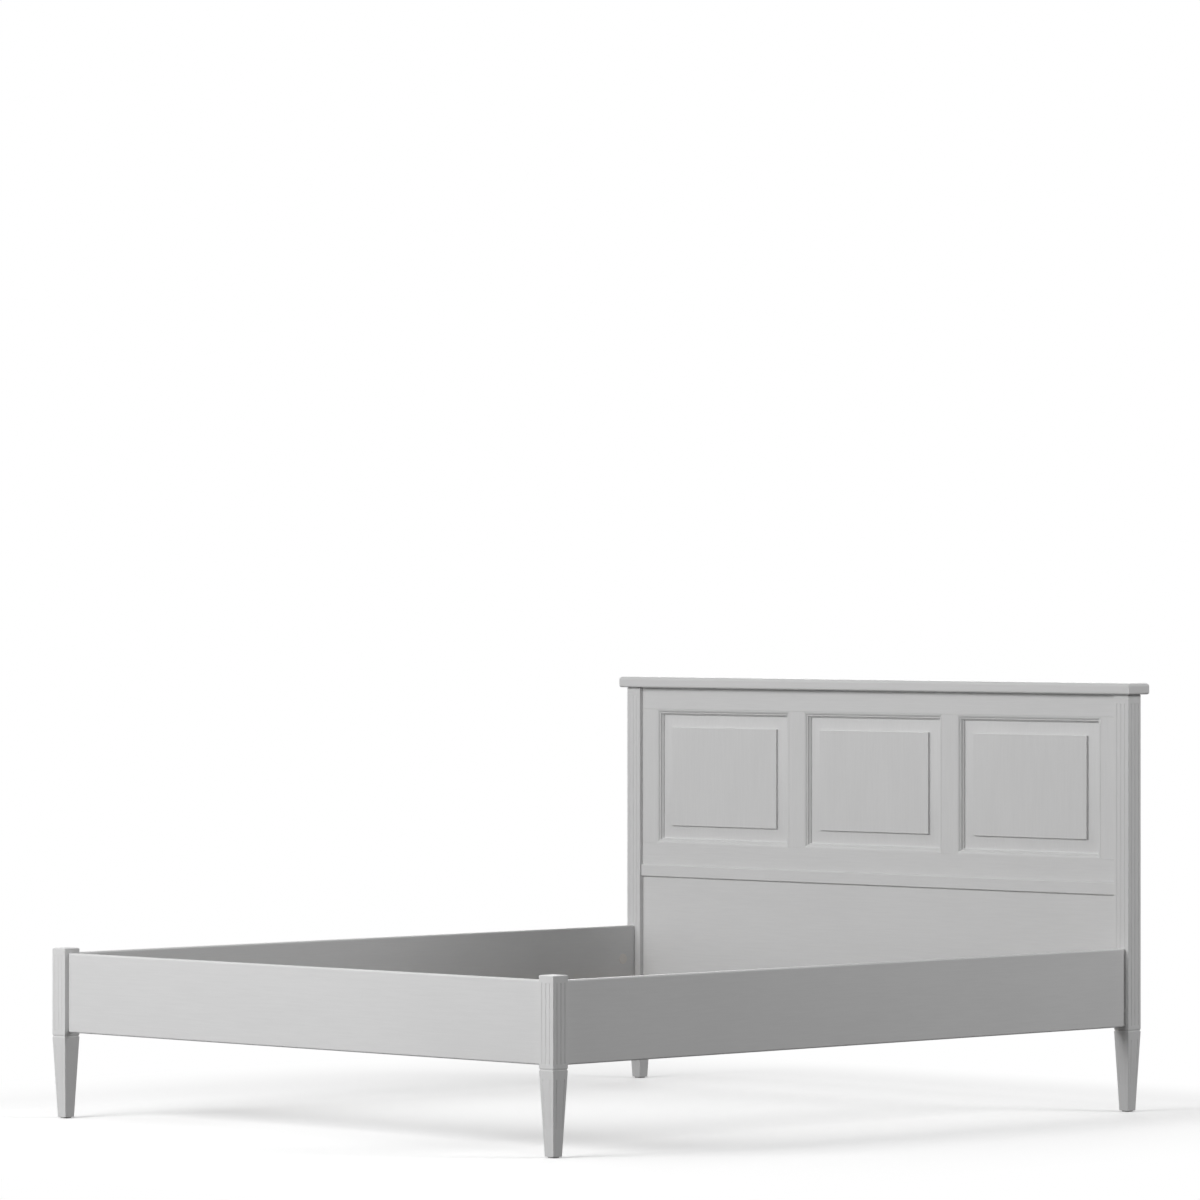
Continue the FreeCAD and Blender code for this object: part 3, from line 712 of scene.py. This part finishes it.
def cam_cover(name, base, inward, step):
    """A thin round cover with a soft rim and a shallow dimple, over the cam at both ends of a board."""
    low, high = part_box("cam_covers")
    radius = (high.z - low.z) / 2
    thick = COVER_THICKNESS
    outline = [
        (2.6 * MM, -3.0 * MM, 0.0),
        (2.6 * MM, 0.0, 0.0),
        (radius, 0.0, 0.0),
        (radius, thick - 0.75 * MM, 0.0),
        (radius - 0.1 * MM, thick - 0.4 * MM, 0.0),
        (radius - 0.35 * MM, thick - 0.12 * MM, 0.0),
        (radius - 0.8 * MM, thick, 0.0),
        (6.3 * MM, thick, 0.0),
        (6.0 * MM, thick - 0.1 * MM, 0.0),
        (5.6 * MM, thick - 0.5 * MM, 0.0),
        (5.2 * MM, thick - 0.6 * MM, 0.0),
        (0.5 * MM, thick - 0.6 * MM, 0.0),
    ]
    mesh = turned_mesh(name, outline, base, inward, 56)
    repeated(name, mesh, COVER_PLASTIC, "cover_plastic", ["cam_covers"], 2, step)


def cam_covers():
    low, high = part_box("cam_covers")
    height = (low.z + high.z) / 2
    rail_low, rail_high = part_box("side_rail_right")
    foot_low, foot_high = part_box("footboard")
    from_end = rail_high.y - (high.y - (high.z - low.z) / 2)
    rail_step = Vector((0, rail_high.y - rail_low.y - 2 * from_end, 0))
    for side, inward in (("left", 1), ("right", -1)):
        base = Vector((-inward * rail_low.x, rail_low.y + from_end, height))
        cam_cover("cam_covers_" + side, base, Vector((inward, 0, 0)), rail_step)
    foot_base = Vector((foot_low.x + from_end, foot_high.y, height))
    foot_step = Vector((foot_high.x - foot_low.x - 2 * from_end, 0, 0))
    cam_cover("cam_covers_foot", foot_base, Vector((0, 1, 0)), foot_step)


def glides():
    """Four round glides with softened rims, each on a pin in its leg."""
    low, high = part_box("glide_foot_left")
    far_low, far_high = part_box("glide_head_right")
    radius = (high.x - low.x) / 2
    rim = GLIDE_THICKNESS
    outline = [
        (radius - 0.9 * MM, 0.0, 0.0),
        (radius - 0.3 * MM, 0.15 * MM, 0.0),
        (radius, 0.7 * MM, 0.0),
        (radius, rim, 0.0),
        (2.5 * MM, rim, 0.0),
        (2.5 * MM, high.z - 2.0 * MM, 0.0),
        (0.6 * MM, high.z, 0.0),
    ]
    base = Vector(((low.x + high.x) / 2, (low.y + high.y) / 2, 0))
    mesh = turned_mesh("glides", outline, base, Vector((0, 0, 1)), 48)
    nodes = ["glide_foot_left", "glide_foot_right", "glide_head_left", "glide_head_right"]
    steps = (2, Vector((far_low.x - low.x, 0, 0)), 2, Vector((0, far_low.y - low.y, 0)))
    repeated("glides", mesh, GLIDE_PLASTIC, "glide_plastic", nodes, *steps)


ledger_screws("left")
ledger_screws("right")
cam_covers()
glides()


# Parts that keep their CAD shape

KEPT_FINISHES = {
    "cam_housings": CASTING,
    "connecting_bolts": ZINC,
    "threaded_sleeves": ZINC,
    "rail_dowels": BEECH["Y"],
    "headboard_dowels": BEECH["X"],
    "cap_dowels": BEECH["Z"],
}

for kept_node, kept_finish in KEPT_FINISHES.items():
    for material_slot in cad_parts[kept_node].material_slots:
        material_slot.material = kept_finish


# Floor, light and camera

FLOOR_SIZE = 40.0
FLOOR_SHADE = 0.95
FLOOR_RETURN = 0.2
FLOOR_GLOW = 0.42
FLOOR_PAINTED_SHADE_REACH = 0.5
FLOOR_MARGIN = 0.25
FLOOR_FORWARD = 0.2
FLOOR_FADE = 0.8
WORLD_LIGHT = 0.1
LAMP_AIM = Vector((0, 0, 0.4))


def floor():
    """A pale floor with the bed's shadow from the lamps on it, deepened by painted shade where the
    camera-only glow is darkened by ambient occlusion near the bed, which goes over into the white
    background round about.
    """
    mesh = bpy.data.meshes.new("floor")
    corners = [(x * FLOOR_SIZE, y * FLOOR_SIZE, 0) for x, y in ((-1, -1), (1, -1), (1, 1), (-1, 1))]
    mesh.from_pydata(corners, [], [(0, 1, 2, 3)])
    plane = bpy.data.objects.new("floor", mesh)
    bpy.context.scene.collection.objects.link(plane)
    pale = Finish("pale_floor", {"Roughness": 1.0, "Specular IOR Level": 0.0})
    seen = pale.node("ShaderNodeLightPath").value("Is Camera Ray")
    grey = (FLOOR_RETURN, FLOOR_RETURN, FLOOR_RETURN)
    pale.surface("Base Color", pale.mixed(seen, grey, (FLOOR_SHADE, FLOOR_SHADE, FLOOR_SHADE)))
    # Painted shade: the glow seen by the camera takes its colour from ambient occlusion, so it is darker
    # under and round the bed, a painted shadow
    painted_floor_shade = pale.node("ShaderNodeAmbientOcclusion", {"samples": 8}, {"Distance": FLOOR_PAINTED_SHADE_REACH})
    strength = seen * FLOOR_GLOW
    glow_with_painted_shade = pale.node("ShaderNodeEmission", {}, {"Color": painted_floor_shade.out("Color"), "Strength": strength})
    lit = pale.node("ShaderNodeAddShader", {}, {0: pale.shader.out(), 1: glow_with_painted_shade.out()})
    low, high = cad_box
    half = (high - low) / 2 + Vector((FLOOR_MARGIN, FLOOR_MARGIN, 0))
    middle = (high + low) / 2 - Vector((0, FLOOR_FORWARD, 0))
    offset = pale.vector("SUBTRACT", pale.place, (middle.x, middle.y, 0))
    beyond = pale.vector("SUBTRACT", pale.vector("ABSOLUTE", offset), (half.x, half.y, 0))
    away = pale.vector("LENGTH", pale.vector("MAXIMUM", beyond, (0, 0, 0)))
    share = seen * pale.ramp(away, 0.0, FLOOR_FADE)
    white = pale.node("ShaderNodeEmission", {}, {"Color": (1, 1, 1, 1), "Strength": 1.0})
    both = pale.node("ShaderNodeMixShader", {}, {0: share, 1: lit.out(), 2: white.out()})
    pale.feed(pale.output.made.inputs["Surface"], both.out())
    mesh.materials.append(pale.material)



def white_surroundings():
    """Grey light from all round, seen as white by the camera and in reflections."""
    world = bpy.data.worlds.new("white_surroundings")
    bpy.context.scene.world = world
    world.use_nodes = True
    world.node_tree.nodes.clear()
    light = Nodes(world.node_tree)
    path = light.node("ShaderNodeLightPath")
    bent = {0: path.out("Is Glossy Ray"), 1: path.out("Is Transmission Ray")}
    mirrored = light.node("ShaderNodeMath", {"operation": "MAXIMUM"}, bent)
    both = {0: path.out("Is Camera Ray"), 1: mirrored.out()}
    seen = light.node("ShaderNodeMath", {"operation": "MAXIMUM"}, both)
    dim = light.node("ShaderNodeBackground", {}, {"Color": (1, 1, 1, 1), "Strength": WORLD_LIGHT})
    white = light.node("ShaderNodeBackground", {}, {"Color": (1, 1, 1, 1), "Strength": 1.0})
    choice = light.node("ShaderNodeMixShader", {}, {0: seen.out(), 1: dim.out(), 2: white.out()})
    light.node("ShaderNodeOutputWorld", {}, {"Surface": choice.out()})



def soft_lamp(name, place, width, watts):
    """A square soft lamp aimed at the bed."""
    data = bpy.data.lights.new(name, "AREA")
    data.shape = "SQUARE"
    data.size = width
    data.energy = watts
    lamp = bpy.data.objects.new(name, data)
    lamp.location = place
    lamp.rotation_euler = (LAMP_AIM - Vector(place)).to_track_quat("-Z", "Y").to_euler()
    bpy.context.scene.collection.objects.link(lamp)


def photograph_camera():
    """The photograph's camera: level, with its horizon a little above the middle of the frame."""
    data = bpy.data.cameras.new("photograph_camera")
    camera = bpy.data.objects.new("photograph_camera", data)
    bpy.context.scene.collection.objects.link(camera)
    data.sensor_width = 36
    data.lens = 212.72
    data.clip_end = 200
    data.shift_y = -0.01529
    camera.location = (12.5404, -12.5439, 1.33315)
    camera.rotation_euler = (math.radians(90), 0, math.radians(45.008))
    bpy.context.scene.camera = camera


floor()
white_surroundings()
soft_lamp("front_lamp", (0, -7.79, 4.8), 3.5, 217)
soft_lamp("near_front_left_lamp", (-1.5, -6, 3.2), 2.5, 138)
soft_lamp("low_front_left_lamp", (-3.72, -7.98, 2.17), 3.5, 31)
soft_lamp("low_left_lamp", (-6.74, -5.66, 2.17), 3.5, 27)
soft_lamp("high_left_lamp", (-4.25, -3.56, 7.39), 3.5, 27)
soft_lamp("far_right_lamp", (10, 7, 6), 4.0, 215)
soft_lamp("near_right_lamp", (6, 3, 3.5), 2.5, 94)
soft_lamp("back_left_lamp", (-7, 9, 5), 4.0, 170)
photograph_camera()
bpy.context.scene.view_settings.view_transform = "Standard"
